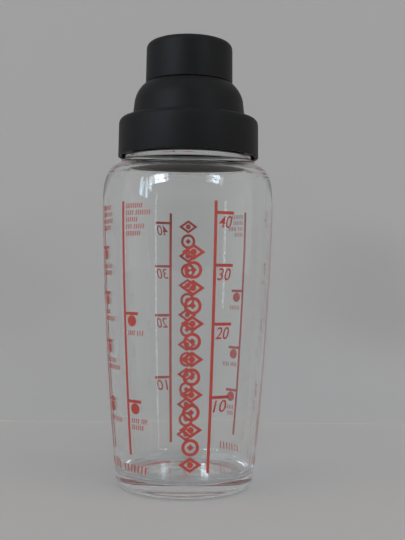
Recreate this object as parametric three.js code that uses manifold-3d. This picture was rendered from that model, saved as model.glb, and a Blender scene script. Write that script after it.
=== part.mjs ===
// A glass cocktail shaker. A tapered glass vessel carries a black push-on lid, whose plug skirt enters
// the neck with a ribbed seal ring around it. A strainer disc drops into the lid's spout, and a black
// push-on cap with a soft liner closes the spout.
// Millimetres, +Z up. The origin is the centre of the foot ring, on the surface the glass stands on.
import * as THREE from "three";
import { mergeVertices } from "three/addons/utils/BufferGeometryUtils.js";
import Module from "manifold-3d";

// Glass vessel
const FOOT_RADIUS = 31; // outside of the wall just above the heel
const HEEL_ROUND = 3; // rounding between the foot ring and the wall
const FOOT_RING_WIDTH = 4.5; // flat ring that stands on the table
const PUNT_DEPTH = 1.2; // hollow under the foot, inside that ring
const FOOT_FLARE = 3.5; // how far the wall leans out over its first sweep above the heel
const WALL_SWEEP = 27; // handle length of the wall's long curve, at each end
const BELLY_RADIUS = 38.7; // widest outside radius
const BELLY_HEIGHT = 125.6; // height of the widest radius
const SHOULDER_RISE = 21.7; // from the belly to the foot of the neck
const SHOULDER_SWEEP = 11.6; // handle length of the shoulder's curve at the belly
const SHOULDER_LEAD = 2.8; // handle length of the shoulder's curve below the neck's rounding
const SHOULDER_SLOPE = THREE.MathUtils.degToRad(36.6); // fall of the shoulder below that rounding
const NECK_RADIUS = 28.7; // outside of the neck
const NECK_HEIGHT = 16.2; // from the foot of the neck to the rim
const NECK_FILLET = 6; // the rounding at the foot of the neck reaches this far out
const NECK_FILLET_RISE = 0.4; // and this far up the neck
const NECK_WALL = 2;
const MOUTH_DROP = 2.75; // the inside turns up into the neck this far below the outside
const MOUTH_SLOPE = THREE.MathUtils.degToRad(30.7); // fall of the inside below the mouth's rounding
const MOUTH_FILLET = 5.1; // the rounding inside the mouth reaches this far out
const MOUTH_FILLET_RISE = 1.35; // and this far up the neck
const MOUTH_LEAD = 0.65; // handle length of the shoulder's inside below that rounding
const MOUTH_SWEEP = 16.7; // handle length of the shoulder's inside at the belly
const BODY_WALL = 1.7; // at the belly
const FOOT_WALL = 2.4; // just above the floor
const FLOOR_THICKNESS = 5.2; // solid glass above the table, at the middle of the floor
const FLOOR_DISH = 0.6; // the floor's edge stands this much higher than its middle
const FLOOR_ROUND = 6; // inside rounding between floor and wall

// Seal ring
const SEAL_CLEARANCE = 0.3; // between the ribs and the inside of the neck
const SEAL_HEIGHT = 9;
const SEAL_WALL = 0.8; // sleeve under the ribs
const RIB_REACH = 0.9; // height of a rib above the sleeve
const RIB_WIDTH = 1.6; // at the foot of a rib
const RIB_COUNT = 3;
const SEAT_GAP = 0.1; // left between two pieces that rest on each other

// Lid
const COLLAR_PLAY = 1.75; // between the neck and the inside of the collar
const COLLAR_WALL = 1.5;
const COLLAR_GAP = 1; // from the foot of the neck up to the collar's lower edge
const COLLAR_ROUND = 2.9; // rounding of the collar's upper edge
const SHELF_THICKNESS = 2.1;
const PLUG_WALL = 1.6;
const PLUG_LIP = 1.2; // height of the lip that keeps the seal ring on the plug skirt
const DOME_STEP = 1.1; // the foot of the dome stands this far outside the plug skirt
const DOME_WALL_HEIGHT = 7.2; // leaning wall below the round of the dome
const DOME_DRAFT = THREE.MathUtils.degToRad(6.5); // lean of that wall
const DOME_ROUND = 12.9; // radius of the dome's shoulder
const LID_WALL = 1.8;
const SPOUT_HEIGHT = 15.6; // above the ledge that faces the cap
const SPOUT_WALL = 1.6;
const LEDGE_LIP = 0.4; // the ledge reaches this far past the cap
const MOULD_DRAFT = THREE.MathUtils.degToRad(0.8); // lean of the collar's and the cap's outside

// Strainer disc
const STRAINER_SEAT = 2.3; // width of the step in the spout that carries the disc
const STRAINER_PLAY = 0.3; // around the disc
const STRAINER_THICKNESS = 1.4;
const STRAINER_RIM_HEIGHT = 2.6;
const STRAINER_RIM_WIDTH = 1.2;
const HOLE_RADIUS = 1.7;
const HOLE_PITCH = 4.6;
const HOLE_MARGIN = 0.6; // plate left between the outer holes and the seat

// Cap and liner
const CAP_STEP = 5.85; // the cap's lower edge stands this far inside the foot of the dome
const CAP_WALL = 1.7;
const CAP_TOP_THICKNESS = 2;
const CAP_ROUND = 3.2; // rounding of the cap's upper edge
const CAP_CLEARANCE = 0.3; // between the cap and the spout
const CAP_SEAM = 0.4; // open line between the cap and the ledge
const LINER_THICKNESS = 1.2;

// Facets
const TURN_STEPS = 48;
const CURVE_STEPS = 5;
const HOLE_STEPS = 12;

// Radii that follow from the neck
const neckInside = NECK_RADIUS - NECK_WALL;
const collarInside = NECK_RADIUS + COLLAR_PLAY;
const collarRadius = collarInside + COLLAR_WALL;
const sealReach = neckInside - SEAL_CLEARANCE;
const sleeveRadius = sealReach - RIB_REACH;
const sleeveInside = sleeveRadius - SEAL_WALL;
const plugRadius = sleeveInside - SEAT_GAP;
const plugInside = plugRadius - PLUG_WALL;
const domeRadius = plugRadius + DOME_STEP;
const capRadius = domeRadius - CAP_STEP;
const ledgeRadius = capRadius + LEDGE_LIP;
const capInside = capRadius - CAP_WALL;
const spoutRadius = capInside - CAP_CLEARANCE;
const spoutBore = spoutRadius - SPOUT_WALL;
const strainerOpening = spoutBore - STRAINER_SEAT;

// Heights that follow from the stack, from the table up
const neckFoot = BELLY_HEIGHT + SHOULDER_RISE;
const collarBottom = neckFoot + COLLAR_GAP;
const rimTop = neckFoot + NECK_HEIGHT;
const channelTop = rimTop + SEAT_GAP;
const sealTop = channelTop - SEAT_GAP;
const sealBottom = sealTop - SEAL_HEIGHT;
const lipTop = sealBottom - SEAT_GAP;
const plugBottom = lipTop - PLUG_LIP;
const shelfTop = channelTop + SHELF_THICKNESS;

// The dome's wall leans in to where its round takes over, and the round ends at the ledge.
const roundStart = shelfTop + DOME_WALL_HEIGHT;
const roundStartRadius = domeRadius - DOME_WALL_HEIGHT * Math.tan(DOME_DRAFT);
const domeCentre = roundStartRadius - DOME_ROUND * Math.cos(DOME_DRAFT);
const domeCentreHeight = roundStart - DOME_ROUND * Math.sin(DOME_DRAFT);
const ledgeAngle = Math.acos((ledgeRadius - domeCentre) / DOME_ROUND);
const ledgeTop = domeCentreHeight + DOME_ROUND * Math.sin(ledgeAngle);

const spoutTop = ledgeTop + SPOUT_HEIGHT;
const linerBottom = spoutTop + SEAT_GAP;
const linerTop = linerBottom + LINER_THICKNESS;
const capBottom = ledgeTop + CAP_SEAM;
const capCeiling = linerTop + SEAT_GAP;
const capTop = capCeiling + CAP_TOP_THICKNESS;

const wasm = await Module();
wasm.setup();

// A closed outline of radius and height, turned about the Z axis.
function turned(outline) {
  const geometry = new THREE.LatheGeometry(outline.getPoints(CURVE_STEPS), TURN_STEPS);
  return geometry.rotateX(Math.PI / 2);
}

function solidOf(geometry) {
  const bare = geometry.clone();
  bare.deleteAttribute("normal");
  bare.deleteAttribute("uv");
  const merged = mergeVertices(bare);
  return new wasm.Manifold(
    new wasm.Mesh({
      numProp: 3,
      vertProperties: new Float32Array(merged.attributes.position.array),
      triVerts: new Uint32Array(merged.index.array),
    }),
  );
}

function geometryOf(solid) {
  const mesh = solid.getMesh();
  const geometry = new THREE.BufferGeometry();
  geometry.setAttribute("position", new THREE.BufferAttribute(mesh.vertProperties, mesh.numProp));
  geometry.setIndex(new THREE.BufferAttribute(mesh.triVerts, 1));
  geometry.computeVertexNormals();
  return geometry;
}

// Vessel: hollow foot, heel, long tapered wall, shoulder, neck and rounded rim, then back down inside.
function glassBody() {
  const ringOutside = FOOT_RADIUS - HEEL_ROUND;
  const ringInside = ringOutside - FOOT_RING_WIDTH;
  const shoulderTop = NECK_RADIUS + NECK_FILLET;
  const shoulderTopHeight = neckFoot - NECK_FILLET * Math.tan(SHOULDER_SLOPE);
  const rimRound = NECK_WALL / 2;
  const mouthFoot = neckFoot - MOUTH_DROP;
  const mouthRadius = neckInside + MOUTH_FILLET;
  const mouthHeight = mouthFoot - MOUTH_FILLET * Math.tan(MOUTH_SLOPE);
  const bellyInside = BELLY_RADIUS - BODY_WALL;
  const floorEdge = FLOOR_THICKNESS + FLOOR_DISH;
  const wallFoot = floorEdge + FLOOR_ROUND;
  const wallLean = FOOT_FLARE / WALL_SWEEP;
  const footInside = FOOT_RADIUS + (wallFoot - HEEL_ROUND) * wallLean - FOOT_WALL;

  const outline = new THREE.Path();
  outline.moveTo(0, PUNT_DEPTH);
  outline.quadraticCurveTo(ringInside / 2, PUNT_DEPTH, ringInside, 0);
  outline.lineTo(ringOutside, 0);
  outline.quadraticCurveTo(FOOT_RADIUS, 0, FOOT_RADIUS, HEEL_ROUND);
  outline.bezierCurveTo(
    FOOT_RADIUS + FOOT_FLARE, HEEL_ROUND + WALL_SWEEP,
    BELLY_RADIUS, BELLY_HEIGHT - WALL_SWEEP,
    BELLY_RADIUS, BELLY_HEIGHT,
  );
  outline.bezierCurveTo(
    BELLY_RADIUS, BELLY_HEIGHT + SHOULDER_SWEEP,
    shoulderTop + SHOULDER_LEAD * Math.cos(SHOULDER_SLOPE),
    shoulderTopHeight - SHOULDER_LEAD * Math.sin(SHOULDER_SLOPE),
    shoulderTop, shoulderTopHeight,
  );
  outline.quadraticCurveTo(NECK_RADIUS, neckFoot, NECK_RADIUS, neckFoot + NECK_FILLET_RISE);
  outline.lineTo(NECK_RADIUS, rimTop - rimRound);
  outline.absarc(NECK_RADIUS - rimRound, rimTop - rimRound, rimRound, 0, Math.PI, false);
  outline.lineTo(neckInside, mouthFoot + MOUTH_FILLET_RISE);
  outline.quadraticCurveTo(neckInside, mouthFoot, mouthRadius, mouthHeight);
  outline.bezierCurveTo(
    mouthRadius + MOUTH_LEAD * Math.cos(MOUTH_SLOPE),
    mouthHeight - MOUTH_LEAD * Math.sin(MOUTH_SLOPE),
    bellyInside, BELLY_HEIGHT + MOUTH_SWEEP,
    bellyInside, BELLY_HEIGHT,
  );
  outline.bezierCurveTo(
    bellyInside, BELLY_HEIGHT - WALL_SWEEP,
    footInside + FOOT_FLARE, wallFoot + WALL_SWEEP,
    footInside, wallFoot,
  );
  outline.quadraticCurveTo(footInside, floorEdge, footInside - FLOOR_ROUND, floorEdge);
  outline.quadraticCurveTo(footInside / 2, FLOOR_THICKNESS, 0, FLOOR_THICKNESS);
  return turned(outline);
}

// Soft sleeve around the plug skirt, with pointed ribs that close on the inside of the neck.
function lidSealRing() {
  const ribPitch = SEAL_HEIGHT / RIB_COUNT;
  const outline = new THREE.Path();
  outline.moveTo(sleeveInside, sealBottom);
  outline.lineTo(sleeveRadius, sealBottom);
  for (let rib = 0; rib < RIB_COUNT; rib++) {
    const middle = sealBottom + (rib + 0.5) * ribPitch;
    outline.lineTo(sleeveRadius, middle - RIB_WIDTH / 2);
    outline.lineTo(sealReach, middle);
    outline.lineTo(sleeveRadius, middle + RIB_WIDTH / 2);
  }
  outline.lineTo(sleeveRadius, sealTop);
  outline.lineTo(sleeveInside, sealTop);
  outline.closePath();
  return turned(outline);
}

// One moulding: plug skirt, channel, collar, shelf, dome, ledge and spout, then back down inside.
function lid() {
  const collarTopRadius = collarRadius - (shelfTop - collarBottom) * Math.tan(MOULD_DRAFT);
  const lipRound = SPOUT_WALL / 2;
  const ceiling = ledgeTop - LID_WALL;
  const innerRound = DOME_ROUND - LID_WALL;
  const ceilingAngle = Math.asin((ceiling - domeCentreHeight) / innerRound);
  const domeInside = domeRadius - LID_WALL / Math.cos(DOME_DRAFT);

  const outline = new THREE.Path();
  outline.moveTo(plugInside, plugBottom);
  outline.lineTo(sleeveRadius, plugBottom);
  outline.lineTo(sleeveRadius, lipTop);
  outline.lineTo(plugRadius, lipTop);
  outline.lineTo(plugRadius, channelTop);
  outline.lineTo(collarInside, channelTop);
  outline.lineTo(collarInside, collarBottom);
  outline.lineTo(collarRadius, collarBottom);
  outline.lineTo(collarTopRadius, shelfTop - COLLAR_ROUND);
  outline.quadraticCurveTo(collarTopRadius, shelfTop, collarTopRadius - COLLAR_ROUND, shelfTop);
  outline.lineTo(domeRadius, shelfTop);
  outline.absarc(domeCentre, domeCentreHeight, DOME_ROUND, DOME_DRAFT, ledgeAngle, false);
  outline.lineTo(spoutRadius, ledgeTop);
  outline.lineTo(spoutRadius, spoutTop - lipRound);
  outline.quadraticCurveTo(spoutRadius, spoutTop, spoutRadius - lipRound, spoutTop);
  outline.lineTo(spoutBore, spoutTop);
  outline.lineTo(spoutBore, ledgeTop);
  outline.lineTo(strainerOpening, ledgeTop);
  outline.lineTo(strainerOpening, ceiling);
  outline.absarc(domeCentre, domeCentreHeight, innerRound, ceilingAngle, DOME_DRAFT, true);
  outline.lineTo(domeInside, shelfTop);
  outline.lineTo(plugInside, shelfTop);
  outline.closePath();
  return turned(outline);
}

// Rimmed disc with rings of round holes, six more in each ring than in the one inside it.
function strainerDisc() {
  const radius = spoutBore - STRAINER_PLAY;
  const bottom = ledgeTop + SEAT_GAP;
  const plateTop = bottom + STRAINER_THICKNESS;
  const rimHeight = bottom + STRAINER_RIM_HEIGHT;
  const rimInside = radius - STRAINER_RIM_WIDTH;

  const outline = new THREE.Path();
  outline.moveTo(0, bottom);
  outline.lineTo(radius, bottom);
  outline.lineTo(radius, rimHeight);
  outline.lineTo(rimInside, rimHeight);
  outline.lineTo(rimInside, plateTop);
  outline.lineTo(0, plateTop);

  let plate = solidOf(turned(outline));
  const drill = new THREE.CylinderGeometry(HOLE_RADIUS, HOLE_RADIUS, STRAINER_THICKNESS * 2, HOLE_STEPS);
  drill.rotateX(Math.PI / 2);
  const ringCount = Math.floor((strainerOpening - HOLE_RADIUS - HOLE_MARGIN) / HOLE_PITCH);
  for (let ring = 0; ring <= ringCount; ring++) {
    const holes = Math.max(1, ring * 6);
    for (let hole = 0; hole < holes; hole++) {
      const turn = (hole / holes) * Math.PI * 2;
      const reach = ring * HOLE_PITCH;
      const placed = drill.clone().translate(
        reach * Math.cos(turn), reach * Math.sin(turn), bottom + STRAINER_THICKNESS / 2,
      );
      plate = plate.subtract(solidOf(placed));
    }
  }
  return geometryOf(plate);
}

// Soft disc under the cap's top, which closes on the rim of the spout.
function capLiner() {
  const radius = capInside - CAP_CLEARANCE;
  const outline = new THREE.Path();
  outline.moveTo(0, linerBottom);
  outline.lineTo(radius, linerBottom);
  outline.lineTo(radius, linerTop);
  outline.lineTo(0, linerTop);
  return turned(outline);
}

// Plain cup, upside down over the spout.
function cap() {
  const topRadius = capRadius - (capTop - capBottom) * Math.tan(MOULD_DRAFT);
  const outline = new THREE.Path();
  outline.moveTo(0, capCeiling);
  outline.lineTo(capInside, capCeiling);
  outline.lineTo(capInside, capBottom);
  outline.lineTo(capRadius, capBottom);
  outline.lineTo(topRadius, capTop - CAP_ROUND);
  outline.quadraticCurveTo(topRadius, capTop, topRadius - CAP_ROUND, capTop);
  outline.lineTo(0, capTop);
  return turned(outline);
}

const clearGlass = new THREE.MeshStandardMaterial({
  color: 0xdfe4e2, roughness: 0.02, metalness: 0, transparent: true, opacity: 0.3,
});
const blackPlastic = new THREE.MeshStandardMaterial({ color: 0x1d1f22, roughness: 0.5, metalness: 0 });
const greyRubber = new THREE.MeshStandardMaterial({ color: 0x34322f, roughness: 0.8, metalness: 0 });
const paleLiner = new THREE.MeshStandardMaterial({ color: 0xd8d5cc, roughness: 0.6, metalness: 0 });

function piece(name, geometry, material) {
  const mesh = new THREE.Mesh(geometry, material);
  mesh.name = name;
  return mesh;
}

const shaker = new THREE.Group();
shaker.add(piece("glass_body", glassBody(), clearGlass));
shaker.add(piece("lid_seal_ring", lidSealRing(), greyRubber));
shaker.add(piece("lid", lid(), blackPlastic));
shaker.add(piece("strainer_disc", strainerDisc(), blackPlastic));
shaker.add(piece("cap_liner", capLiner(), paleLiner));
shaker.add(piece("cap", cap(), blackPlastic));

export default shaker;
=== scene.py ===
import math

import bmesh
import bpy
import numpy as np
from mathutils import Matrix, Vector


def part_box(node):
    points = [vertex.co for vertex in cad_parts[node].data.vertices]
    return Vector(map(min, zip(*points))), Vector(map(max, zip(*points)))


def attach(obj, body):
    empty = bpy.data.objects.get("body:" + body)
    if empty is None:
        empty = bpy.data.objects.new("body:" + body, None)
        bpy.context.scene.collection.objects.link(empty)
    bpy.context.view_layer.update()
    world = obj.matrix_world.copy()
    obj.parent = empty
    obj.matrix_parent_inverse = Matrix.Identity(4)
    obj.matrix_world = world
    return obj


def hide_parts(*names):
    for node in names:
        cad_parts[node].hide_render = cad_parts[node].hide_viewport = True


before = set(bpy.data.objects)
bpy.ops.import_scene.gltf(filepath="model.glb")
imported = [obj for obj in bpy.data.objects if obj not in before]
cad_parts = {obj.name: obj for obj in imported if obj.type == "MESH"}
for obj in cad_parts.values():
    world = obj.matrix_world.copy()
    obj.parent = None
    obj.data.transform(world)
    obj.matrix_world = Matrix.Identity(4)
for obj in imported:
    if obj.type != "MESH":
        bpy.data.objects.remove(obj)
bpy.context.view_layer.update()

# Glass vessel
# One piece of clear pressed glass, thick at the floor and thin at the belly, with a tight shoulder and a
# short plain neck. At the belly the wall stands back by the thickness of the print, which then reaches
# the solid's width and no further.
glass_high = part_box("glass_body")[1]
ENAMEL_PROUD = 0.00004
BELLY_RADIUS = glass_high.x - ENAMEL_PROUD
RIM_HEIGHT = glass_high.z
FOOT_RADIUS = 0.031
HEEL_ROUND = 0.003
FOOT_RING_WIDTH = 0.0045
PUNT_DEPTH = 0.0012
FOOT_FLARE = 0.0035
WALL_SWEEP = 0.027
BELLY_HEIGHT = 0.1256
SHOULDER_SWEEP = 0.0116
SHOULDER_LEAD = 0.0028
SHOULDER_SLOPE = math.radians(36.6)
NECK_RADIUS = 0.0287
NECK_HEIGHT = 0.0162
NECK_FILLET = 0.006
NECK_FILLET_RISE = 0.0004
NECK_WALL = 0.002
MOUTH_DROP = 0.00275
MOUTH_SLOPE = math.radians(30.7)
MOUTH_FILLET = 0.0051
MOUTH_FILLET_RISE = 0.00135
MOUTH_LEAD = 0.00065
MOUTH_SWEEP = 0.0167
BODY_WALL = 0.0017
FOOT_WALL = 0.0024
FLOOR_THICKNESS = 0.0052
FLOOR_DISH = 0.0006
FLOOR_ROUND = 0.006
GLASS_TURN_STEPS = 192
NECK_BEND_STEPS = 20

neck_foot = RIM_HEIGHT - NECK_HEIGHT
neck_inside = NECK_RADIUS - NECK_WALL
shoulder_top = (NECK_RADIUS + NECK_FILLET, neck_foot - NECK_FILLET * math.tan(SHOULDER_SLOPE))


def bend(start, corner, end, steps=12):
    """Points of a curve that leaves start towards corner and arrives at end from it, without start."""
    along = np.linspace(0, 1, steps + 1)[1:, None]
    a, b, c = (np.array(point) for point in (start, corner, end))
    return ((1 - along) ** 2 * a + 2 * (1 - along) * along * b + along**2 * c).tolist()


def sweep(start, leave, arrive, end, steps=48):
    """Points of a curve with a handle at each end, without start."""
    along = np.linspace(0, 1, steps + 1)[1:, None]
    a, b, c, d = (np.array(point) for point in (start, leave, arrive, end))
    rest = 1 - along
    return (rest**3 * a + 3 * rest**2 * along * b + 3 * rest * along**2 * c + along**3 * d).tolist()


def turned(name, outline, steps, closed=False):
    """A mesh of an outline of radius and height turned about Z. The outline runs anticlockwise."""
    turns = np.linspace(0, 2 * math.pi, steps, endpoint=False)
    points, rings = [], []
    for radius, height in outline:
        first = len(points)
        if radius == 0:
            points.append((0, 0, height))
            rings.append([first] * steps)
        else:
            points.extend((radius * math.cos(t), radius * math.sin(t), height) for t in turns)
            rings.append(list(range(first, first + steps)))
    pairs = list(zip(rings, rings[1:]))
    if closed:
        pairs.append((rings[-1], rings[0]))
    faces = []
    for lower, upper in pairs:
        for i in range(steps):
            j = (i + 1) % steps
            corners = [lower[i], lower[j], upper[j], upper[i]]
            face = [c for k, c in enumerate(corners) if c != corners[k - 1]]
            if len(face) > 2:
                faces.append(face)
    mesh = bpy.data.meshes.new(name)
    mesh.from_pydata(points, [], faces)
    mesh.shade_smooth()
    return mesh


def shown(mesh, material):
    """An object of that mesh, at the origin, with that material."""
    mesh.materials.clear()
    mesh.materials.append(material)
    piece = bpy.data.objects.new(mesh.name, mesh)
    bpy.context.scene.collection.objects.link(piece)
    return piece


def wall_curve(foot, foot_height, belly, steps=64):
    """The long curve of the vessel's wall, from just above the heel or floor up to the belly."""
    start = (foot, foot_height)
    end = (belly, BELLY_HEIGHT)
    leave = (foot + FOOT_FLARE, foot_height + WALL_SWEEP)
    arrive = (belly, BELLY_HEIGHT - WALL_SWEEP)
    return [list(start)] + sweep(start, leave, arrive, end, steps)


def shoulder_curve(belly, rise, top, lead, slope, steps=60):
    """The shoulder's curve from the belly up to its top, which it reaches on a slope."""
    start = (belly, BELLY_HEIGHT)
    leave = (belly, BELLY_HEIGHT + rise)
    arrive = (top[0] + lead * math.cos(slope), top[1] - lead * math.sin(slope))
    return [list(start)] + sweep(start, leave, arrive, top, steps)


def vessel_outline():
    ring_outside = FOOT_RADIUS - HEEL_ROUND
    ring_inside = ring_outside - FOOT_RING_WIDTH
    floor_edge = FLOOR_THICKNESS + FLOOR_DISH
    wall_foot = floor_edge + FLOOR_ROUND
    lean = FOOT_FLARE / WALL_SWEEP
    foot_inside = FOOT_RADIUS + (wall_foot - HEEL_ROUND) * lean - FOOT_WALL
    mouth_foot = neck_foot - MOUTH_DROP
    mouth_edge = (neck_inside + MOUTH_FILLET, mouth_foot - MOUTH_FILLET * math.tan(MOUTH_SLOPE))
    rim_round = NECK_WALL / 2
    rim_middle = NECK_RADIUS - rim_round
    belly_inside = BELLY_RADIUS - BODY_WALL

    outline = [[0, PUNT_DEPTH]]
    outline += bend(outline[-1], (ring_inside / 2, PUNT_DEPTH), (ring_inside, 0))
    outline += [[ring_outside, 0]]
    outline += bend(outline[-1], (FOOT_RADIUS, 0), (FOOT_RADIUS, HEEL_ROUND))
    outline += wall_curve(FOOT_RADIUS, HEEL_ROUND, BELLY_RADIUS)[1:]
    outline += shoulder_curve(BELLY_RADIUS, SHOULDER_SWEEP, shoulder_top, SHOULDER_LEAD, SHOULDER_SLOPE)[1:]
    neck_start = (NECK_RADIUS, neck_foot + NECK_FILLET_RISE)
    outline += bend(outline[-1], (NECK_RADIUS, neck_foot), neck_start, NECK_BEND_STEPS)
    outline += [[NECK_RADIUS, RIM_HEIGHT - rim_round]]
    outline += bend(outline[-1], (NECK_RADIUS, RIM_HEIGHT), (rim_middle, RIM_HEIGHT))
    outline += bend(outline[-1], (neck_inside, RIM_HEIGHT), (neck_inside, RIM_HEIGHT - rim_round))
    outline += [[neck_inside, mouth_foot + MOUTH_FILLET_RISE]]
    outline += bend(outline[-1], (neck_inside, mouth_foot), mouth_edge, NECK_BEND_STEPS)
    outline += shoulder_curve(belly_inside, MOUTH_SWEEP, mouth_edge, MOUTH_LEAD, MOUTH_SLOPE)[-2::-1]
    outline += wall_curve(foot_inside, wall_foot, belly_inside)[-2::-1]
    floor_reach = foot_inside - FLOOR_ROUND
    outline += bend(outline[-1], (foot_inside, floor_edge), (floor_reach, floor_edge))
    outline += bend(outline[-1], (foot_inside / 2, FLOOR_THICKNESS), (0, FLOOR_THICKNESS))
    return outline


def clear_glass():
    """Colourless glass with the faint long waves of a pressed wall and a breath of haze on it."""
    material = bpy.data.materials.new("clear_glass")
    material.use_nodes = True
    nodes, links = material.node_tree.nodes, material.node_tree.links
    surface = nodes["Principled BSDF"]
    surface.inputs["Base Color"].default_value = (0.975, 0.985, 0.98, 1)
    surface.inputs["IOR"].default_value = 1.51
    surface.inputs["Transmission Weight"].default_value = 1
    place = nodes.new("ShaderNodeTexCoord")
    haze = nodes.new("ShaderNodeTexNoise")
    haze.inputs["Scale"].default_value = 70
    haze.inputs["Detail"].default_value = 3
    links.new(place.outputs["Object"], haze.inputs["Vector"])
    haze_range = nodes.new("ShaderNodeMapRange")
    haze_range.inputs["From Min"].default_value = 0.45
    haze_range.inputs["From Max"].default_value = 0.8
    haze_range.inputs["To Min"].default_value = 0.0
    haze_range.inputs["To Max"].default_value = 0.03
    links.new(haze.outputs["Fac"], haze_range.inputs["Value"])
    links.new(haze_range.outputs["Result"], surface.inputs["Roughness"])
    waves = nodes.new("ShaderNodeTexNoise")
    waves.inputs["Scale"].default_value = 55
    waves.inputs["Detail"].default_value = 0
    links.new(place.outputs["Object"], waves.inputs["Vector"])
    bump = nodes.new("ShaderNodeBump")
    bump.inputs["Strength"].default_value = 0.06
    bump.inputs["Distance"].default_value = 0.001
    links.new(waves.outputs["Fac"], bump.inputs["Height"])
    links.new(bump.outputs["Normal"], surface.inputs["Normal"])
    return material


vessel = shown(turned("glass_vessel", vessel_outline(), GLASS_TURN_STEPS), clear_glass())
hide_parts("glass_body")
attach(vessel, "glass")
# The wall casts no shadow, so that light reaches the print on the far side through it.
vessel.visible_shadow = False

# Print
# Red ceramic enamel, screened on the outside of the wall and fired into it: a centilitre scale, a column
# of ornament and two panels of hatched rows, and the same again on the far side of the glass.
ENAMEL_SUNK = 0.00003
ENAMEL_STEP_ACROSS = 0.0008
ENAMEL_STEP_UP = 0.004
CUT_REACH = 1e-7
LINE_WIDTH = 0.0013
SCALE_ANGLE = math.radians(17.65)
SCALE_LINE_BOTTOM = 0.0118
SCALE_LINE_TOP = 0.1257
SCALE_TICK_LENGTH = 0.0077
SCALE_MARKS = {"10": 0.0438, "20": 0.0745, "30": 0.099, "40": 0.1208}
NUMERAL_HEIGHT = 0.0051
NUMERAL_WIDTH = 0.0057
NUMERAL_SLANT = 0.2
NUMERAL_WEIGHT = 0.006
NUMERAL_INDENT = 0.0015
NUMERAL_DROP = 0.00055
COLUMN_ANGLE = math.radians(4)
COLUMN_BOTTOM = 0.0155
COLUMN_PITCH = 0.0074
COLUMN_COUNTS = {"front": 13, "back": 15}
COLUMN_SIZES = {"Lozenge Width": 0.0098, "Lozenge Height": 0.0068, "Ring Diameter": 0.0074, "Band": 0.0013}
FRAME_BANDS = 3.2
CORE_BANDS = 2.2
ROUND_STEPS = 40
PANEL_ANGLES = [math.radians(angle) for angle in (-44.8, -74.5, 130.5, 84)]
PANEL_LINE_BOTTOM = 0.0177
PANEL_LINE_TOP = 0.1256
PANEL_TICK_LENGTH = 0.0068
PANEL_DISC_DIAMETER = 0.0047
PANEL_DISC_OFFSET = 0.0034
PANEL_DISC_DROP = 0.0031
NOTE_INDENT = 0.0021
NOTE_PITCH = 0.0029
HEADING_DROP = 0.002
NOTE_DROP = 0.0082
WORD_GAP = 0.0019
NOTE_SIZES = {"Stroke Width": 0.0004, "Stroke Height": 0.002, "Slant": 0.0004, "Pitch": 0.00095}
TITLE_INDENT = -0.0045
TITLE_HEIGHT = 0.0118
TITLE_WORDS = [0.0045, 0.006]
TITLE_SIZES = {"Stroke Width": 0.0007, "Stroke Height": 0.0031, "Slant": 0.0006, "Pitch": 0.0015}
BACK_TURN = math.radians(175.3)

wall = np.array(
    wall_curve(FOOT_RADIUS, HEEL_ROUND, BELLY_RADIUS)
    + shoulder_curve(BELLY_RADIUS, SHOULDER_SWEEP, shoulder_top, SHOULDER_LEAD, SHOULDER_SLOPE)
)


def red_enamel():
    """Brick-red glass enamel, a little uneven in tone and faintly pitted from the screen."""
    material = bpy.data.materials.new("red_enamel")
    material.use_nodes = True
    nodes, links = material.node_tree.nodes, material.node_tree.links
    surface = nodes["Principled BSDF"]
    surface.inputs["Roughness"].default_value = 0.38
    place = nodes.new("ShaderNodeTexCoord")
    cloud = nodes.new("ShaderNodeTexNoise")
    cloud.inputs["Scale"].default_value = 420
    cloud.inputs["Detail"].default_value = 4
    links.new(place.outputs["Object"], cloud.inputs["Vector"])
    colours = nodes.new("ShaderNodeValToRGB")
    colours.color_ramp.elements[0].position = 0.3
    colours.color_ramp.elements[0].color = (0.33, 0.043, 0.033, 1)
    colours.color_ramp.elements[1].position = 0.7
    colours.color_ramp.elements[1].color = (0.4, 0.054, 0.042, 1)
    links.new(cloud.outputs["Fac"], colours.inputs["Fac"])
    links.new(colours.outputs["Color"], surface.inputs["Base Color"])
    pits = nodes.new("ShaderNodeTexNoise")
    pits.inputs["Scale"].default_value = 5200
    links.new(place.outputs["Object"], pits.inputs["Vector"])
    bump = nodes.new("ShaderNodeBump")
    bump.inputs["Strength"].default_value = 0.2
    bump.inputs["Distance"].default_value = 0.00005
    links.new(pits.outputs["Fac"], bump.inputs["Height"])
    links.new(bump.outputs["Normal"], surface.inputs["Normal"])
    return material


enamel = red_enamel()


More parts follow.
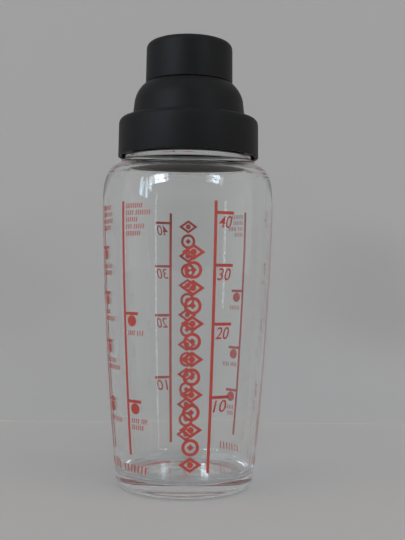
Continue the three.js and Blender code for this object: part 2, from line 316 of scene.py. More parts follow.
class Pattern:
    """A Geometry Nodes tree that repeats a shape along a mesh. Its sizes are named inputs."""

    def __init__(self, name, sizes, material):
        self.tree = bpy.data.node_groups.new(name, "GeometryNodeTree")
        sockets = self.tree.interface
        sockets.new_socket("Path", in_out="INPUT", socket_type="NodeSocketGeometry")
        for size in sizes:
            sockets.new_socket(size, in_out="INPUT", socket_type="NodeSocketFloat")
        sockets.new_socket("Shape", in_out="OUTPUT", socket_type="NodeSocketGeometry")
        self.start = self.add("NodeGroupInput").outputs
        self.material = material

    def add(self, kind, mode=None, **wires):
        """A node of that kind, with inputs wired or set by name."""
        node = self.tree.nodes.new(kind)
        if mode:
            node.mode = mode
        for name, value in wires.items():
            socket = node.inputs[name.replace("_", " ")]
            if isinstance(value, bpy.types.NodeSocket):
                self.tree.links.new(value, socket)
            else:
                socket.default_value = value
        return node

    def maths(self, operation, first, second):
        node = self.add("ShaderNodeMath")
        node.operation = operation
        for socket, value in zip(node.inputs, (first, second)):
            if isinstance(value, bpy.types.NodeSocket):
                self.tree.links.new(value, socket)
            else:
                socket.default_value = value
        return node.outputs["Value"]

    def joined(self, *shapes):
        node = self.add("GeometryNodeJoinGeometry")
        for shape in shapes:
            self.tree.links.new(shape, node.inputs["Geometry"])
        return node.outputs["Geometry"]

    def filled(self, curve):
        return self.add("GeometryNodeFillCurve", Curve=curve).outputs["Mesh"]

    def moved(self, shape, right, up):
        offset = self.add("ShaderNodeCombineXYZ", X=right, Y=up).outputs["Vector"]
        return self.add("GeometryNodeTransform", Geometry=shape, Translation=offset).outputs["Geometry"]

    def end(self, instances):
        real = self.add("GeometryNodeRealizeInstances", Geometry=instances).outputs["Geometry"]
        dressed = self.add("GeometryNodeSetMaterial", Geometry=real, Material=self.material)
        finish = self.add("NodeGroupOutput")
        self.tree.links.new(dressed.outputs["Geometry"], finish.inputs["Shape"])

    def made(self, path, sizes):
        """The plain mesh that the tree makes along a path at those sizes."""
        carrier = bpy.data.objects.new(path.name, path)
        bpy.context.scene.collection.objects.link(carrier)
        modifier = carrier.modifiers.new(self.tree.name, "NODES")
        modifier.node_group = self.tree
        for socket in self.tree.interface.items_tree:
            if socket.in_out == "INPUT" and socket.name in sizes:
                modifier[socket.identifier] = sizes[socket.name]
        scene_now = bpy.context.evaluated_depsgraph_get()
        flat = bpy.data.meshes.new_from_object(carrier.evaluated_get(scene_now))
        bpy.data.objects.remove(carrier)
        return flat


def tick_pattern(material):
    """A bar to the right of each point."""
    pattern = Pattern("tick_pattern", ["Length", "Width"], material)
    length, width = pattern.start["Length"], pattern.start["Width"]
    bar = pattern.add("GeometryNodeMeshGrid", Size_X=length, Size_Y=width)
    bar.inputs["Vertices X"].default_value = 2
    bar.inputs["Vertices Y"].default_value = 2
    placed = pattern.moved(bar.outputs["Mesh"], pattern.maths("MULTIPLY", length, 0.5), 0)
    stamped = pattern.add("GeometryNodeInstanceOnPoints", Points=pattern.start["Path"], Instance=placed)
    pattern.end(stamped.outputs["Instances"])
    return pattern


def disc_pattern(material):
    """A disc to the right of and below each point."""
    pattern = Pattern("disc_pattern", ["Diameter", "Right", "Drop"], material)
    radius = pattern.maths("MULTIPLY", pattern.start["Diameter"], 0.5)
    circle = pattern.add("GeometryNodeCurvePrimitiveCircle", Resolution=ROUND_STEPS, Radius=radius)
    down = pattern.maths("MULTIPLY", pattern.start["Drop"], -1)
    disc = pattern.moved(pattern.filled(circle.outputs["Curve"]), pattern.start["Right"], down)
    stamped = pattern.add("GeometryNodeInstanceOnPoints", Points=pattern.start["Path"], Instance=disc)
    pattern.end(stamped.outputs["Instances"])
    return pattern


def hatch_pattern(material):
    """A row of slanted strokes along each edge."""
    pattern = Pattern("hatch_pattern", ["Stroke Width", "Stroke Height", "Slant", "Pitch"], material)
    stroke = pattern.add(
        "GeometryNodeCurvePrimitiveQuadrilateral",
        mode="PARALLELOGRAM",
        Width=pattern.start["Stroke Width"],
        Height=pattern.start["Stroke Height"],
        Offset=pattern.start["Slant"],
    )
    rows = pattern.add("GeometryNodeMeshToCurve", Mesh=pattern.start["Path"])
    pitch = pattern.start["Pitch"]
    steps = pattern.add("GeometryNodeResampleCurve", mode="LENGTH", Curve=rows.outputs["Curve"], Length=pitch)
    shape = pattern.filled(stroke.outputs["Curve"])
    stamped = pattern.add("GeometryNodeInstanceOnPoints", Points=steps.outputs["Curve"], Instance=shape)
    pattern.end(stamped.outputs["Instances"])
    return pattern


def ornament_pattern(material):
    """A lozenge frame around a disc and a ring around a small lozenge, by turns, on a row of points."""
    pattern = Pattern("ornament_pattern", list(COLUMN_SIZES), material)
    wide, tall = pattern.start["Lozenge Width"], pattern.start["Lozenge Height"]
    across, band = pattern.start["Ring Diameter"], pattern.start["Band"]

    def lozenge(width, height):
        half = pattern.maths("MULTIPLY", height, 0.5)
        sizes = {"Width": width, "Bottom_Height": half, "Top_Height": half}
        return pattern.add("GeometryNodeCurvePrimitiveQuadrilateral", mode="KITE", **sizes).outputs["Curve"]

    def circle(radius):
        node = pattern.add("GeometryNodeCurvePrimitiveCircle", Resolution=ROUND_STEPS, Radius=radius)
        return node.outputs["Curve"]

    share = pattern.maths("DIVIDE", tall, wide)
    frame_width = pattern.maths("SUBTRACT", wide, pattern.maths("MULTIPLY", band, FRAME_BANDS))
    frame_height = pattern.maths("MULTIPLY", frame_width, share)
    frame_shape = pattern.joined(lozenge(wide, tall), lozenge(frame_width, frame_height), circle(band))
    outer = pattern.maths("MULTIPLY", across, 0.5)
    inner = pattern.maths("SUBTRACT", outer, band)
    core = pattern.maths("MULTIPLY", band, CORE_BANDS)
    ring_shape = pattern.joined(circle(outer), circle(inner), lozenge(core, core))
    motifs = pattern.add("GeometryNodeGeometryToInstance")
    for shape in (ring_shape, frame_shape):
        pattern.tree.links.new(pattern.filled(shape), motifs.inputs["Geometry"])
    index = pattern.add("GeometryNodeInputIndex").outputs["Index"]
    stamped = pattern.add(
        "GeometryNodeInstanceOnPoints",
        Points=pattern.start["Path"],
        Instance=motifs.outputs["Instances"],
        Pick_Instance=True,
        Instance_Index=pattern.maths("MODULO", index, 2),
    )
    pattern.end(stamped.outputs["Instances"])
    return pattern


def points_mesh(name, places):
    mesh = bpy.data.meshes.new(name)
    mesh.from_pydata([(right, up, 0) for right, up in places], [], [])
    return mesh


def rows_mesh(name, indent, top, rows):
    """One edge for each word of each row, rightwards from the indent. A row is a list of lengths."""
    points, edges = [], []
    for row, words in enumerate(rows):
        right = indent
        for word in words:
            edges.append((len(points), len(points) + 1))
            points += [(right, top - row * NOTE_PITCH, 0), (right + word, top - row * NOTE_PITCH, 0)]
            right += word + WORD_GAP
    mesh = bpy.data.meshes.new(name)
    mesh.from_pydata(points, edges, [])
    return mesh


def bar_mesh(name, width, bottom, top):
    mesh = bpy.data.meshes.new(name)
    half = width / 2
    corners = [(-half, bottom, 0), (half, bottom, 0), (half, top, 0), (-half, top, 0)]
    mesh.from_pydata(corners, [], [(0, 1, 2, 3)])
    return mesh


def numeral_mesh(value, top):
    """A slanted number whose top stands at that height, just right of the scale's line."""
    text = bpy.data.curves.new("numeral_" + value, "FONT")
    text.body = value
    text.offset = NUMERAL_WEIGHT
    carrier = bpy.data.objects.new(text.name, text)
    bpy.context.scene.collection.objects.link(carrier)
    scene_now = bpy.context.evaluated_depsgraph_get()
    mesh = bpy.data.meshes.new_from_object(carrier.evaluated_get(scene_now))
    bpy.data.objects.remove(carrier)
    corners = np.array([vertex.co[:2] for vertex in mesh.vertices])
    low, high = corners.min(0), corners.max(0)
    for vertex in mesh.vertices:
        right = (vertex.co.x - low[0]) / (high[0] - low[0]) * NUMERAL_WIDTH
        up = (vertex.co.y - high[1]) / (high[1] - low[1]) * NUMERAL_HEIGHT
        vertex.co = (LINE_WIDTH / 2 + NUMERAL_INDENT + right + up * NUMERAL_SLANT, top + up, 0)
    return mesh


def fired(name, flats, angle):
    """Flat meshes laid on the wall as a thin closed film, right of and above a line at an angle."""
    film = bmesh.new()
    for flat in flats:
        film.from_mesh(flat)
    for axis, step in ((Vector((1, 0, 0)), ENAMEL_STEP_ACROSS), (Vector((0, 1, 0)), ENAMEL_STEP_UP)):
        reach = [vertex.co.dot(axis) for vertex in film.verts]
        for cut in np.arange(min(reach), max(reach), step)[1:]:
            whole = film.verts[:] + film.edges[:] + film.faces[:]
            bmesh.ops.bisect_plane(film, geom=whole, dist=CUT_REACH, plane_co=axis * cut, plane_no=axis)
    for vertex in film.verts:
        vertex.co.z = -ENAMEL_SUNK
    raised = bmesh.ops.extrude_face_region(film, geom=film.faces[:], use_keep_orig=True)
    for item in raised["geom"]:
        if isinstance(item, bmesh.types.BMVert):
            item.co.z = ENAMEL_PROUD
    bmesh.ops.recalc_face_normals(film, faces=film.faces[:])
    for vertex in film.verts:
        right, height, out = vertex.co
        radius = float(np.interp(height, wall[:, 1], wall[:, 0]))
        turn = angle + right / radius
        vertex.co = ((radius + out) * math.sin(turn), -(radius + out) * math.cos(turn), height)
    mesh = bpy.data.meshes.new(name)
    film.to_mesh(mesh)
    film.free()
    piece = shown(mesh, enamel)
    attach(piece, "glass")


ticks = tick_pattern(enamel)
discs = disc_pattern(enamel)
hatching = hatch_pattern(enamel)
ornaments = ornament_pattern(enamel)


def scale_print(name, angle):
    marks = points_mesh("scale_marks", [(LINE_WIDTH / 2, height) for height in SCALE_MARKS.values()])
    flats = [bar_mesh("scale_line", LINE_WIDTH, SCALE_LINE_BOTTOM, SCALE_LINE_TOP)]
    flats.append(ticks.made(marks, {"Length": SCALE_TICK_LENGTH, "Width": LINE_WIDTH}))
    for value, height in SCALE_MARKS.items():
        flats.append(numeral_mesh(value, height - NUMERAL_DROP - LINE_WIDTH / 2))
    fired(name, flats, angle)


def column_print(name, angle, count):
    places = [(0, COLUMN_BOTTOM + step * COLUMN_PITCH) for step in range(count)]
    fired(name, [ornaments.made(points_mesh("column_points", places), COLUMN_SIZES)], angle)


def recipe_print(name, angle, marks, heading, notes):
    """A line with a tick and a disc at each mark, rows of hatching at its top and below the discs."""
    edge = points_mesh("panel_marks", [(LINE_WIDTH / 2, height) for height in marks])
    flats = [bar_mesh("panel_line", LINE_WIDTH, PANEL_LINE_BOTTOM, PANEL_LINE_TOP)]
    flats.append(ticks.made(edge, {"Length": PANEL_TICK_LENGTH, "Width": LINE_WIDTH}))
    disc_sizes = {"Diameter": PANEL_DISC_DIAMETER, "Right": PANEL_DISC_OFFSET, "Drop": PANEL_DISC_DROP}
    flats.append(discs.made(edge.copy(), disc_sizes))
    top_rows = rows_mesh("panel_heading", NOTE_INDENT, PANEL_LINE_TOP - HEADING_DROP, heading)
    flats.append(hatching.made(top_rows, NOTE_SIZES))
    for height, rows in zip(marks, notes):
        note = rows_mesh("panel_note", NOTE_INDENT, height - NOTE_DROP, rows)
        flats.append(hatching.made(note, NOTE_SIZES))
    title = rows_mesh("panel_title", TITLE_INDENT, TITLE_HEIGHT, [TITLE_WORDS])
    flats.append(hatching.made(title, TITLE_SIZES))
    fired(name, flats, angle)


for side, turn in (("front", 0), ("back", BACK_TURN)):
    scale_print("scale_print_" + side, SCALE_ANGLE + turn)
    column_print("column_print_" + side, COLUMN_ANGLE + turn, COLUMN_COUNTS[side])

recipe_print(
    "recipe_print_1",
    PANEL_ANGLES[0],
    marks=(0.0783, 0.041),
    heading=[[0.008], [0.0035, 0.0065], [0.0055], [0.0025, 0.0045], [0.007]],
    notes=[[[0.003, 0.0025]], [[0.0035, 0.002], [0.0055]]],
)
recipe_print(
    "recipe_print_2",
    PANEL_ANGLES[1],
    marks=(0.1065, 0.0866, 0.0656, 0.0401),
    heading=[[0.008], [0.0035, 0.0035], [0.003, 0.0045], [0.0075]],
    notes=[
        [[0.003, 0.0035], [0.0075]],
        [[0.0035], [0.0085]],
        [[0.003, 0.003], [0.011]],
        [[0.0035, 0.0045]],
    ],
)
recipe_print(
    "recipe_print_3",
    PANEL_ANGLES[2],
    marks=(0.0872, 0.0595, 0.0389),
    heading=[[0.0065], [0.0055], [0.0025, 0.004], [0.0045]],
    notes=[[[0.0055]], [[0.003, 0.003]], [[0.0045], [0.003]]],
)
recipe_print(
    "recipe_print_4",
    PANEL_ANGLES[3],
    marks=(0.1, 0.074, 0.0445),
    heading=[[0.005], [0.003, 0.0035], [0.006]],
    notes=[[[0.0035, 0.002]], [[0.005]], [[0.0025, 0.003], [0.0045]]],
)

# Lid
# One injection moulding of black satin plastic: collar around the neck, shelf, dome and spout, with a
# plug skirt inside the neck. It is pushed on, and nothing but the seal ring holds it.
lid_low, lid_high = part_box("lid")
COLLAR_RADIUS = lid_high.x
PLUG_BOTTOM = lid_low.z
SPOUT_TOP = lid_high.z
COLLAR_BOTTOM = 0.1483
COLLAR_WALL = 0.0015
COLLAR_ROUND = 0.0029
COLLAR_EDGE = 0.0003
SEAT_GAP = 0.0001
SHELF_THICKNESS = 0.0021
SEAL_RADIUS = 0.0255
PLUG_RADIUS = 0.0246
PLUG_WALL = 0.0016
PLUG_LIP = 0.0012
DOME_STEP = 0.0011
DOME_WALL_HEIGHT = 0.0072
DOME_DRAFT = math.radians(6.5)
DOME_ROUND = 0.0129
LID_WALL = 0.0018
CAP_STEP = 0.00585
LEDGE_LIP = 0.0004
CAP_WALL = 0.0017
CAP_CLEARANCE = 0.0003
SPOUT_WALL = 0.0016
SPOUT_LIP = 0.00064
STRAINER_SEAT = 0.0023
MOULD_DRAFT = math.radians(0.8)
MOULD_EDGE = 0.00035
CREASE_ANGLE = math.radians(40)
PLASTIC_TURN_STEPS = 160

shelf_bottom = RIM_HEIGHT + SEAT_GAP
shelf_top = shelf_bottom + SHELF_THICKNESS
dome_radius = PLUG_RADIUS + DOME_STEP
round_start = shelf_top + DOME_WALL_HEIGHT
dome_centre = dome_radius - DOME_WALL_HEIGHT * math.tan(DOME_DRAFT) - DOME_ROUND * math.cos(DOME_DRAFT)
dome_centre_height = round_start - DOME_ROUND * math.sin(DOME_DRAFT)
cap_radius = dome_radius - CAP_STEP
ledge_radius = cap_radius + LEDGE_LIP
ledge_angle = math.acos((ledge_radius - dome_centre) / DOME_ROUND)
ledge_top = dome_centre_height + DOME_ROUND * math.sin(ledge_angle)
cap_inside = cap_radius - CAP_WALL
spout_radius = cap_inside - CAP_CLEARANCE
spout_bore = spout_radius - SPOUT_WALL
strainer_opening = spout_bore - STRAINER_SEAT


def arc(centre, height, radius, first, last, steps=24):
    """Points on a round from the first to the last angle."""
    angles = np.linspace(first, last, steps + 1)
    return [[centre + radius * math.cos(a), height + radius * math.sin(a)] for a in angles]


def softened(corners, steps=5):
    """An outline with rounded corners. Each corner is a radius, a height and how far the rounding reaches."""
    outline = []
    count = len(corners)
    for i, (radius, height, reach) in enumerate(corners):
        here = Vector((radius, height))
        if reach == 0:
            outline.append([radius, height])
            continue
        before = Vector(corners[i - 1][:2])
        after = Vector(corners[(i + 1) % count][:2])
        start = here + (before - here).normalized() * reach
        end = here + (after - here).normalized() * reach
        outline.append(list(start))
        outline += bend(start, here, end, steps)
    return outline


def lid_outline():
    collar_inside = COLLAR_RADIUS - COLLAR_WALL
    collar_top_radius = COLLAR_RADIUS - (shelf_top - COLLAR_BOTTOM) * math.tan(MOULD_DRAFT)
    lip_top = PLUG_BOTTOM + PLUG_LIP
    ceiling = ledge_top - LID_WALL
    inner_round = DOME_ROUND - LID_WALL
    ceiling_angle = math.asin((ceiling - dome_centre_height) / inner_round)
    plug_inside = PLUG_RADIUS - PLUG_WALL
    dome_inside = dome_radius - LID_WALL / math.cos(DOME_DRAFT)
    outside = [
        (plug_inside, PLUG_BOTTOM, MOULD_EDGE),
        (SEAL_RADIUS, PLUG_BOTTOM, MOULD_EDGE),
        (SEAL_RADIUS, lip_top, MOULD_EDGE),
        (PLUG_RADIUS, lip_top, 0),
        (PLUG_RADIUS, shelf_bottom, MOULD_EDGE),
        (collar_inside, shelf_bottom, MOULD_EDGE),
        (collar_inside, COLLAR_BOTTOM, MOULD_EDGE),
        (COLLAR_RADIUS, COLLAR_BOTTOM, COLLAR_EDGE),
        (collar_top_radius, shelf_top, COLLAR_ROUND),
        (dome_radius, shelf_top, MOULD_EDGE),
    ]
    dome = arc(dome_centre, dome_centre_height, DOME_ROUND, DOME_DRAFT, ledge_angle)
    above = [
        (spout_radius, ledge_top, MOULD_EDGE),
        (spout_radius, SPOUT_TOP, SPOUT_LIP),
        (spout_bore, SPOUT_TOP, SPOUT_LIP),
        (spout_bore, ledge_top, 0),
        (strainer_opening, ledge_top, MOULD_EDGE),
        (strainer_opening, ceiling, MOULD_EDGE),
    ]
    inside = arc(dome_centre, dome_centre_height, inner_round, ceiling_angle, DOME_DRAFT)
    under = [(dome_inside, shelf_top, 0), (plug_inside, shelf_top, 0)]
    first = outside + [(*dome[0], 0)]
    middle = [(*dome[-1], 0)] + above + [(*inside[0], 0)]
    return softened(first)[:-1] + dome[:-1] + softened(middle)[:-1] + inside + softened(under)


def black_plastic():
    """Black satin plastic with the fine grain of a blasted mould and a little unevenness in its sheen."""
    material = bpy.data.materials.new("black_plastic")
    material.use_nodes = True
    nodes, links = material.node_tree.nodes, material.node_tree.links
    surface = nodes["Principled BSDF"]
    surface.inputs["Specular IOR Level"].default_value = 0.22
    place = nodes.new("ShaderNodeTexCoord")
    cloud = nodes.new("ShaderNodeTexNoise")
    cloud.inputs["Scale"].default_value = 140
    cloud.inputs["Detail"].default_value = 4
    links.new(place.outputs["Object"], cloud.inputs["Vector"])
    colours = nodes.new("ShaderNodeValToRGB")
    colours.color_ramp.elements[0].color = (0.0038, 0.0039, 0.0046, 1)
    colours.color_ramp.elements[1].color = (0.0054, 0.0056, 0.0064, 1)
    links.new(cloud.outputs["Fac"], colours.inputs["Fac"])
    links.new(colours.outputs["Color"], surface.inputs["Base Color"])
    sheen = nodes.new("ShaderNodeMapRange")
    sheen.inputs["To Min"].default_value = 0.46
    sheen.inputs["To Max"].default_value = 0.56
    links.new(cloud.outputs["Fac"], sheen.inputs["Value"])
    links.new(sheen.outputs["Result"], surface.inputs["Roughness"])
    grain = nodes.new("ShaderNodeTexNoise")
    grain.inputs["Scale"].default_value = 2600
    grain.inputs["Detail"].default_value = 2
    links.new(place.outputs["Object"], grain.inputs["Vector"])
    bump = nodes.new("ShaderNodeBump")
    bump.inputs["Strength"].default_value = 0.25
    bump.inputs["Distance"].default_value = 0.0001
    links.new(grain.outputs["Fac"], bump.inputs["Height"])
    links.new(bump.outputs["Normal"], surface.inputs["Normal"])
    return material


plastic = black_plastic()
lid_mesh = turned("lid_moulding", lid_outline(), PLASTIC_TURN_STEPS, closed=True)
lid_mesh.set_sharp_from_angle(angle=CREASE_ANGLE)
lid = shown(lid_mesh, plastic)
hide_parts("lid")
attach(lid, "lid")

# Seal ring
# A soft sleeve with three pointed ribs, moulded in one piece of dark rubber. It is pulled over the lid's
# plug skirt, and its ribs close on the inside of the neck.
seal_low, seal_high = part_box("lid_seal_ring")
SEAL_BOTTOM = seal_low.z
SEAL_TOP = seal_high.z
SEAL_REACH = seal_high.x
SEAL_INSIDE = PLUG_RADIUS + SEAT_GAP
RIB_COUNT = 3
RIB_WIDTH = 0.0016
RIB_EDGE = 0.00025


def seal_outline():
    pitch = (SEAL_TOP - SEAL_BOTTOM) / RIB_COUNT
    corners = [(SEAL_INSIDE, SEAL_BOTTOM, 0), (SEAL_RADIUS, SEAL_BOTTOM, RIB_EDGE)]
    for rib in range(RIB_COUNT):
        middle = SEAL_BOTTOM + (rib + 0.5) * pitch
        corners.append((SEAL_RADIUS, middle - RIB_WIDTH / 2, RIB_EDGE))
        corners.append((SEAL_REACH, middle, RIB_EDGE))
        corners.append((SEAL_RADIUS, middle + RIB_WIDTH / 2, RIB_EDGE))
    corners += [(SEAL_RADIUS, SEAL_TOP, RIB_EDGE), (SEAL_INSIDE, SEAL_TOP, 0)]
    return softened(corners)


def seal_rubber():
    """Soft dark grey rubber, dull all over."""
    material = bpy.data.materials.new("seal_rubber")
    material.use_nodes = True
    nodes, links = material.node_tree.nodes, material.node_tree.links
    surface = nodes["Principled BSDF"]
    place = nodes.new("ShaderNodeTexCoord")
    cloud = nodes.new("ShaderNodeTexNoise")
    cloud.inputs["Scale"].default_value = 260
    links.new(place.outputs["Object"], cloud.inputs["Vector"])
    colours = nodes.new("ShaderNodeValToRGB")
    colours.color_ramp.elements[0].color = (0.03, 0.028, 0.026, 1)
    colours.color_ramp.elements[1].color = (0.045, 0.042, 0.04, 1)
    links.new(cloud.outputs["Fac"], colours.inputs["Fac"])
    links.new(colours.outputs["Color"], surface.inputs["Base Color"])
    surface.inputs["Roughness"].default_value = 0.7
    return material


seal_mesh = turned("plug_seal", seal_outline(), PLASTIC_TURN_STEPS, closed=True)
seal_mesh.set_sharp_from_angle(angle=CREASE_ANGLE)
seal = shown(seal_mesh, seal_rubber())
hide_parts("lid_seal_ring")
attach(seal, "seal_ring")

# Strainer
# A rimmed disc of the lid's black plastic with rings of round holes, moulded flat. It drops into the
# spout from above and lies on the step at its foot.
strainer_low, strainer_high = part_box("strainer_disc")
STRAINER_RADIUS = strainer_high.x
STRAINER_THICKNESS = 0.0014
STRAINER_RIM_WIDTH = 0.0012
STRAINER_EDGE = 0.0003
HOLE_RADIUS = 0.0017
HOLE_PITCH = 0.0046
HOLE_RINGS = 2
PLATE_TURN_STEPS = 96
HOLE_TURN_STEPS = 28
HOLES_PER_RING = 6
WELD_REACH = 1e-6


def perforated_pattern(material):
    """A round plate, open at its edge, with a hole at each point."""
    pattern = Pattern("perforated_pattern", ["Plate Radius", "Hole Radius", "Thickness"], material)
    sizes = pattern.start

    def circle(radius, steps):
        node = pattern.add("GeometryNodeCurvePrimitiveCircle", Resolution=steps, Radius=radius)
        return node.outputs["Curve"]

    edge = circle(sizes["Plate Radius"], PLATE_TURN_STEPS)
    hole = circle(sizes["Hole Radius"], HOLE_TURN_STEPS)
    holes = pattern.add("GeometryNodeInstanceOnPoints", Points=sizes["Path"], Instance=hole)
    real = pattern.add("GeometryNodeRealizeInstances", Geometry=holes.outputs["Instances"])
    face = pattern.filled(pattern.joined(edge, real.outputs["Geometry"]))
    rise = sizes["Thickness"]
    raised = pattern.add("GeometryNodeExtrudeMesh", Mesh=face, Offset_Scale=rise, Individual=False)
    under = pattern.add("GeometryNodeFlipFaces", Mesh=face)
    shell = pattern.joined(raised.outputs["Mesh"], under.outputs["Mesh"])
    welded = pattern.add("GeometryNodeMergeByDistance", Geometry=shell, Distance=WELD_REACH)
    pattern.end(welded.outputs["Geometry"])
    return pattern


def strainer_mesh():
    """The plate, with its rim welded around it in place of the wall at its edge."""
    rim_inside = STRAINER_RADIUS - STRAINER_RIM_WIDTH
    centres = [(0, 0)]
    for ring in range(1, HOLE_RINGS + 1):
        for turn in np.linspace(0, 2 * math.pi, ring * HOLES_PER_RING, endpoint=False):
            centres.append((ring * HOLE_PITCH * math.cos(turn), ring * HOLE_PITCH * math.sin(turn)))
    sizes = {"Plate Radius": rim_inside, "Hole Radius": HOLE_RADIUS, "Thickness": STRAINER_THICKNESS}
    plate = perforated_pattern(plastic).made(points_mesh("strainer_holes", centres), sizes)
    plate.transform(Matrix.Translation((0, 0, strainer_low.z)))
    rim = softened([
        (rim_inside, strainer_low.z, 0),
        (STRAINER_RADIUS, strainer_low.z, STRAINER_EDGE),
        (STRAINER_RADIUS, strainer_high.z, STRAINER_EDGE),
        (rim_inside, strainer_high.z, STRAINER_EDGE),
        (rim_inside, strainer_low.z + STRAINER_THICKNESS, 0),
    ])
    weld = bmesh.new()
    weld.from_mesh(plate)
    weld.normal_update()
    inner = rim_inside - WELD_REACH
    upright = [face for face in weld.faces if abs(face.normal.z) < 0.5]
    edge_wall = [face for face in upright if all(corner.co.xy.length > inner for corner in face.verts)]
    bmesh.ops.delete(weld, geom=edge_wall, context="FACES")
    weld.from_mesh(turned("strainer_rim", rim, PLATE_TURN_STEPS))
    bmesh.ops.remove_doubles(weld, verts=weld.verts[:], dist=2 * WELD_REACH)
    mesh = bpy.data.meshes.new("strainer_plate")
    weld.to_mesh(mesh)
    weld.free()
    mesh.shade_smooth()
    mesh.set_sharp_from_angle(angle=CREASE_ANGLE)
    return mesh


strainer = shown(strainer_mesh(), plastic)
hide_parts("strainer_disc")
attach(strainer, "lid")

# Cap liner
# A disc punched from soft off-white plastic sheet, pressed in under the cap's top. The spout's rim has
# left a shallow ring in it.
liner_low, liner_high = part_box("cap_liner")
LINER_EDGE = 0.00025
LINER_RING_DEPTH = 0.00015


def liner_outline():
    sunk = liner_low.z + LINER_RING_DEPTH
    return softened([
        (0, liner_low.z, 0),
        (spout_bore, liner_low.z, LINER_RING_DEPTH),
        (spout_bore, sunk, LINER_RING_DEPTH / 2),
        (spout_radius - LINER_EDGE, sunk, LINER_RING_DEPTH / 2),
        (spout_radius - LINER_EDGE, liner_low.z, 0),
        (liner_high.x, liner_low.z, LINER_EDGE / 2),
        (liner_high.x, liner_high.z, LINER_EDGE),
        (0, liner_high.z, 0),
    ])


def liner_plastic():
    """Soft off-white plastic sheet, faintly clouded."""
    material = bpy.data.materials.new("liner_plastic")
    material.use_nodes = True
    nodes, links = material.node_tree.nodes, material.node_tree.links
    surface = nodes["Principled BSDF"]
    surface.inputs["Roughness"].default_value = 0.55
    place = nodes.new("ShaderNodeTexCoord")
    cloud = nodes.new("ShaderNodeTexNoise")
    cloud.inputs["Scale"].default_value = 320
    cloud.inputs["Detail"].default_value = 5
    links.new(place.outputs["Object"], cloud.inputs["Vector"])
    colours = nodes.new("ShaderNodeValToRGB")
    colours.color_ramp.elements[0].color = (0.66, 0.64, 0.58, 1)
    colours.color_ramp.elements[1].color = (0.76, 0.74, 0.68, 1)
    links.new(cloud.outputs["Fac"], colours.inputs["Fac"])
    links.new(colours.outputs["Color"], surface.inputs["Base Color"])
    bump = nodes.new("ShaderNodeBump")
    bump.inputs["Strength"].default_value = 0.15
    bump.inputs["Distance"].default_value = 0.0002
    links.new(cloud.outputs["Fac"], bump.inputs["Height"])
    links.new(bump.outputs["Normal"], surface.inputs["Normal"])
    return material


liner_mesh = turned("liner_disc", liner_outline(), PLASTIC_TURN_STEPS)
liner_mesh.set_sharp_from_angle(angle=CREASE_ANGLE)
liner = shown(liner_mesh, liner_plastic())
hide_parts("cap_liner")
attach(liner, "liner")

# Cap
# A plain cup moulded of the same black plastic. It is pushed over the spout and stops on the liner, which
# leaves an open seam above the lid's ledge.
cap_low, cap_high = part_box("cap")
CAP_BOTTOM = cap_low.z
CAP_TOP = cap_high.z
CAP_TOP_THICKNESS = 0.002
CAP_ROUND = 0.0032
CAP_ROUND_STEPS = 8


def cap_outline():
    ceiling = CAP_TOP - CAP_TOP_THICKNESS
    top_radius = cap_radius - (CAP_TOP - CAP_BOTTOM) * math.tan(MOULD_DRAFT)
    corners = [
        (0, ceiling, 0),
        (cap_inside, ceiling, MOULD_EDGE),
        (cap_inside, CAP_BOTTOM, MOULD_EDGE),
        (cap_radius, CAP_BOTTOM, MOULD_EDGE),
        (top_radius, CAP_TOP, CAP_ROUND),
        (0, CAP_TOP, 0),
    ]
    return softened(corners, CAP_ROUND_STEPS)


cap_mesh = turned("spout_cap", cap_outline(), PLASTIC_TURN_STEPS)
cap_mesh.set_sharp_from_angle(angle=CREASE_ANGLE)
cap = shown(cap_mesh, plastic)
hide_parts("cap")
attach(cap, "cap")

# Studio
# A pale grey sheet that lies under the shaker and turns up behind it, a room with pale walls, and
# daylight from windows at both sides. None of it belongs to the shaker.
SHEET_COLOUR = (0.375, 0.365, 0.36, 1)
SHEET_FRONT = -1.2
SHEET_FOLD = 0.151
SHEET_FOLD_ROUND = 0.0004
SHEET_TOP = 1.3
SHEET_HALF_WIDTH = 1.6


def studio_sheet():
    route = [(SHEET_FRONT, 0), (SHEET_FOLD - SHEET_FOLD_ROUND, 0)]
    route += bend(route[-1], (SHEET_FOLD, 0), (SHEET_FOLD, SHEET_FOLD_ROUND))
    route.append((SHEET_FOLD, SHEET_TOP))
    points = [(side * SHEET_HALF_WIDTH, y, z) for y, z in route for side in (-1, 1)]
    faces = [(2 * i, 2 * i + 1, 2 * i + 3, 2 * i + 2) for i in range(len(route) - 1)]
    mesh = bpy.data.meshes.new("studio_sheet")
    mesh.from_pydata(points, [], faces)
    mesh.shade_smooth()
    return mesh


def sheet_cloth():
    """Matt pale cloth, seen from its front only."""
    material = bpy.data.materials.new("sheet_cloth")
    material.use_nodes = True
    nodes, links = material.node_tree.nodes, material.node_tree.links
    surface = nodes["Principled BSDF"]
    surface.inputs["Base Color"].default_value = SHEET_COLOUR
    surface.inputs["Roughness"].default_value = 0.9
    surface.inputs["Specular IOR Level"].default_value = 0.1
    side = nodes.new("ShaderNodeNewGeometry")
    clear = nodes.new("ShaderNodeBsdfTransparent")
    mix = nodes.new("ShaderNodeMixShader")
    links.new(side.outputs["Backfacing"], mix.inputs["Fac"])
    links.new(surface.outputs["BSDF"], mix.inputs[1])
    links.new(clear.outputs["BSDF"], mix.inputs[2])
    links.new(mix.outputs["Shader"], nodes["Material Output"].inputs["Surface"])
    return material


shown(studio_sheet(), sheet_cloth())

ROOM_FAR_END = (0.12, 0.12, 0.12, 1)
ROOM_WALLS = (0.62, 0.61, 0.59, 1)
ROOM_CEILING = (0.5, 0.48, 0.46, 1)
ROOM_CEILING_EDGE = 0.35


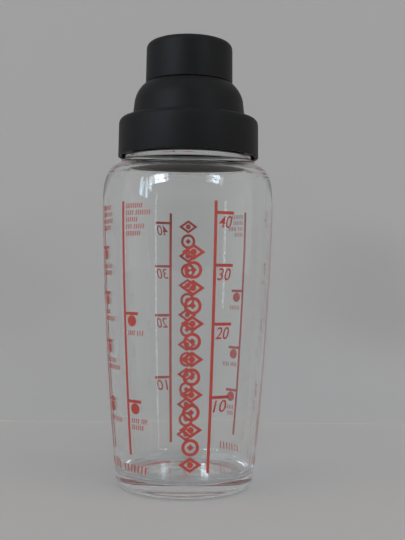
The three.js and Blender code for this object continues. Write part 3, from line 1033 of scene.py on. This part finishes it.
def room_light():
    """A room with pale walls at both sides, a dim end that faces the shaker's front, and a grey ceiling."""
    room = bpy.data.worlds.new("room")
    room.use_nodes = True
    nodes, links = room.node_tree.nodes, room.node_tree.links
    way = nodes.new("ShaderNodeTexCoord")
    split = nodes.new("ShaderNodeSeparateXYZ")
    links.new(way.outputs["Generated"], split.inputs["Vector"])
    ahead = nodes.new("ShaderNodeMapRange")
    ahead.inputs["From Min"].default_value = -1
    ahead.inputs["From Max"].default_value = 0
    links.new(split.outputs["Y"], ahead.inputs["Value"])
    walls = nodes.new("ShaderNodeValToRGB")
    walls.color_ramp.elements[0].color = ROOM_FAR_END
    walls.color_ramp.elements[1].color = ROOM_WALLS
    links.new(ahead.outputs["Result"], walls.inputs["Fac"])
    above = nodes.new("ShaderNodeMapRange")
    above.inputs["From Min"].default_value = ROOM_CEILING_EDGE
    links.new(split.outputs["Z"], above.inputs["Value"])
    whole = nodes.new("ShaderNodeMix")
    whole.data_type = "RGBA"
    links.new(above.outputs["Result"], whole.inputs["Factor"])
    links.new(walls.outputs["Color"], whole.inputs["A"])
    whole.inputs["B"].default_value = ROOM_CEILING
    links.new(whole.outputs["Result"], nodes["Background"].inputs["Color"])
    return room


bpy.context.scene.world = room_light()

LAMP_AIM = Vector((0, 0, 0.12))
DAYLIGHT = (0.78, 0.9, 1.0)
SKYLIGHT = (0.6, 0.83, 1.0)
ROOM_LIGHT = (1.0, 0.98, 0.97)


def window(name, azimuth, elevation, wide, tall, roll, distance, radiance, colour):
    """A flat lamp that faces the shaker. Its place, sizes and roll are degrees as the shaker sees them."""
    light = bpy.data.lights.new(name, "AREA")
    light.shape = "RECTANGLE"
    light.size = 2 * distance * math.tan(math.radians(wide) / 2)
    light.size_y = 2 * distance * math.tan(math.radians(tall) / 2)
    light.energy = math.pi * light.size * light.size_y * radiance
    light.color = colour
    lamp = bpy.data.objects.new(name, light)
    bpy.context.scene.collection.objects.link(lamp)
    lamp.visible_camera = False
    turn, rise = math.radians(azimuth), math.radians(elevation)
    away = Vector((math.sin(turn) * math.cos(rise), -math.cos(turn) * math.cos(rise), math.sin(rise)))
    facing = away.to_track_quat("Z", "Y").to_matrix() @ Matrix.Rotation(math.radians(roll), 3, "Z")
    lamp.matrix_world = Matrix.LocRotScale(LAMP_AIM + away * distance, facing.to_quaternion(), None)
    return lamp


# For each window: azimuth, elevation, width, height and roll in degrees, distance in metres, radiance and
# colour.
WINDOWS = {
    "left_window_upper": (-36.5, 25.6, 16.5, 6.4, 6, 8, 7, DAYLIGHT),
    "left_window_lower": (-43.5, 22.4, 20, 5.4, 10, 8, 7, DAYLIGHT),
    "left_window_sky": (-40, 24, 13, 6, 8, 8, 11, DAYLIGHT),
    "left_blind_1": (-64.8, 15, 3.8, 14, 2, 8, 7, SKYLIGHT),
    "left_blind_2": (-56.9, 13.9, 3.6, 15.2, 4, 8, 5, SKYLIGHT),
    "left_blind_3": (-51.5, 15.2, 3.6, 9, 6, 8, 5, SKYLIGHT),
    "right_window_upper": (38, 26, 13, 5, -14, 8, 4, DAYLIGHT),
    "right_window_lower": (42.5, 22.4, 13, 5.4, -14, 8, 4, DAYLIGHT),
    "right_window_sky": (40, 24.2, 9, 6, -14, 8, 7, DAYLIGHT),
    "right_window_edge": (30.5, 24.6, 8, 4.6, -10, 8, 3, DAYLIGHT),
    "right_doorway": (49.8, -2.5, 1.5, 17, 0, 0.6, 3.2, DAYLIGHT),
}
for name, values in WINDOWS.items():
    window(name, *values)
# The light of the room as a whole, which no glass or plastic mirrors as a lamp.
room_fill = window("room_fill", 0, 48, 100, 70, 0, 12, 1.18, ROOM_LIGHT)
room_fill.visible_glossy = False
room_fill.visible_transmission = False

# Camera
# It stands in front of the shaker, a little below its middle. It looks slightly up and to the right, and
# is held a little askew, as by hand. Light may cross many faces of the glass on its way to it.
CAMERA_DISTANCE = 0.3702
CAMERA_HEIGHT = 0.09467
CAMERA_LENS = 53.93
CAMERA_TURN = math.radians(1.106)
CAMERA_TILT = math.radians(0.387)
CAMERA_ROLL = math.radians(0.708)
CAMERA_NEAR = 0.01
GLASS_BOUNCES = 32

lens = bpy.data.cameras.new("camera")
lens.lens = CAMERA_LENS
lens.clip_start = CAMERA_NEAR
camera = bpy.data.objects.new("camera", lens)
bpy.context.scene.collection.objects.link(camera)
aim = Matrix.Rotation(-CAMERA_TURN, 4, "Z") @ Matrix.Rotation(math.pi / 2 + CAMERA_TILT, 4, "X")
aim = aim @ Matrix.Rotation(CAMERA_ROLL, 4, "Z")
camera.matrix_world = Matrix.Translation((0, -CAMERA_DISTANCE, CAMERA_HEIGHT)) @ aim
bpy.context.scene.camera = camera
bpy.context.scene.view_settings.view_transform = "Standard"
bpy.context.scene.cycles.max_bounces = GLASS_BOUNCES
bpy.context.scene.cycles.glossy_bounces = GLASS_BOUNCES
bpy.context.scene.cycles.transmission_bounces = GLASS_BOUNCES
